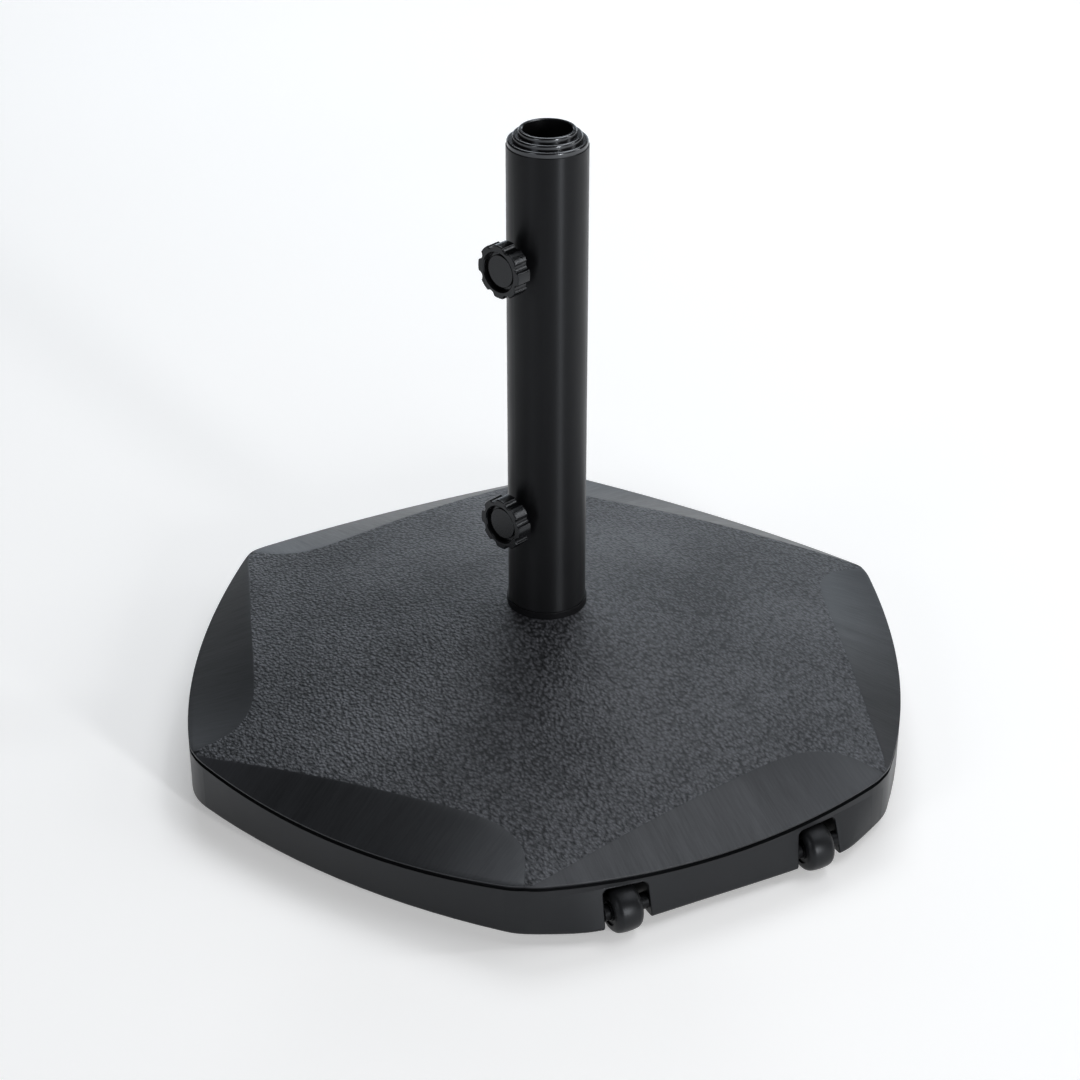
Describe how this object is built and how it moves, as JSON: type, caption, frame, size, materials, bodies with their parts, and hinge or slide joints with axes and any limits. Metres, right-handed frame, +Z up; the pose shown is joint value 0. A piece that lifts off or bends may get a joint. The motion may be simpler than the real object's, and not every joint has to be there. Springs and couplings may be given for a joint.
{
  "type": "parasol base",
  "caption": "Weighted hexagonal parasol base with a central mast tube, clamp knobs, nested reducer rings and roller wheels in one side.",
  "frame": {"origin": "on the floor, at the centre of the foot, on the axis of the mast tube", "axes": "+Z up along the mast; +Y towards the corner opposite the front corner; the wheels are in the side between -Y and +X"},
  "size_m": [0.5026, 0.5364, 0.4457],
  "materials": {
    "cover_plastic": "black moulded plastic, leather-like grain on the field, smooth brushed facets",
    "pan_plastic": "smooth satin black plastic",
    "concrete": "cast concrete",
    "foot_rubber": "matt black rubber",
    "zinc_steel": "zinc-plated steel",
    "tube_paint": "satin black powder coat",
    "trim_plastic": "satin black plastic",
    "wheel_plastic": "smooth dark grey nylon",
    "reducer_plastic": "glossy black plastic",
    "knob_plastic": "semi-gloss black plastic"
  },
  "bodies": {
    "base": {"top_shell": "cover_plastic", "bottom_pan": "pan_plastic", "ballast": "concrete", "rubber_feet": "foot_rubber", "pan_screws": "zinc_steel", "pole_tube": "tube_paint", "pole_collar": "trim_plastic", "foot_plate": "tube_paint", "anchor_bolts": "zinc_steel", "anchor_washers": "zinc_steel", "cast_in_nuts": "zinc_steel", "upper_weld_nut": "tube_paint", "lower_weld_nut": "tube_paint", "left_axle": "zinc_steel", "right_axle": "zinc_steel", "axle_spacers": "trim_plastic"},
    "left_wheel": {"left_wheel": "wheel_plastic"},
    "right_wheel": {"right_wheel": "wheel_plastic"},
    "outer_reducer": {"outer_reducer": "reducer_plastic"},
    "middle_reducer": {"middle_reducer": "reducer_plastic"},
    "inner_reducer": {"inner_reducer": "reducer_plastic"},
    "upper_stud": {"upper_stud": "zinc_steel"},
    "upper_knob": {"upper_knob": "knob_plastic", "upper_knob_cap": "knob_plastic"},
    "lower_stud": {"lower_stud": "zinc_steel"},
    "lower_knob": {"lower_knob": "knob_plastic", "lower_knob_cap": "knob_plastic"}
  },
  "joints": [
    {"name": "left_wheel_spin", "type": "hinge", "parent": "base", "child": "left_wheel", "pos_m": [0.06049, -0.24778, 0.0168], "axis": [0.866, 0.5, 0], "continuous": true},
    {"name": "right_wheel_spin", "type": "hinge", "parent": "base", "child": "right_wheel", "pos_m": [0.18433, -0.17628, 0.0168], "axis": [0.866, 0.5, 0], "continuous": true},
    {"name": "outer_reducer_lift", "type": "slide", "parent": "base", "child": "outer_reducer", "axis": [0, 0, 1], "range_m": [0, 0.065]},
    {"name": "middle_reducer_lift", "type": "slide", "parent": "outer_reducer", "child": "middle_reducer", "axis": [0, 0, 1], "range_m": [0, 0.065]},
    {"name": "inner_reducer_lift", "type": "slide", "parent": "middle_reducer", "child": "inner_reducer", "axis": [0, 0, 1], "range_m": [0, 0.065]},
    {"name": "upper_screw_feed", "type": "slide", "parent": "base", "child": "upper_stud", "axis": [-0.6561, -0.7547, 0], "range_m": [-0.00105, 0.0114]},
    {"name": "upper_knob_turn", "type": "hinge", "parent": "upper_stud", "child": "upper_knob", "pos_m": [0, 0, 0.36], "axis": [-0.6561, -0.7547, 0], "range_deg": [-288, 3240]},
    {"name": "lower_screw_feed", "type": "slide", "parent": "base", "child": "lower_stud", "axis": [-0.6561, -0.7547, 0], "range_m": [-0.00105, 0.0114]},
    {"name": "lower_knob_turn", "type": "hinge", "parent": "lower_stud", "child": "lower_knob", "pos_m": [0, 0, 0.173], "axis": [-0.6561, -0.7547, 0], "range_deg": [-288, 3240]}
  ],
  "couplings": [
    {"joint": "upper_screw_feed", "follows": "upper_knob_turn", "m_per_rad": 0.00019894},
    {"joint": "lower_screw_feed", "follows": "lower_knob_turn", "m_per_rad": 0.00019894}
  ]
}
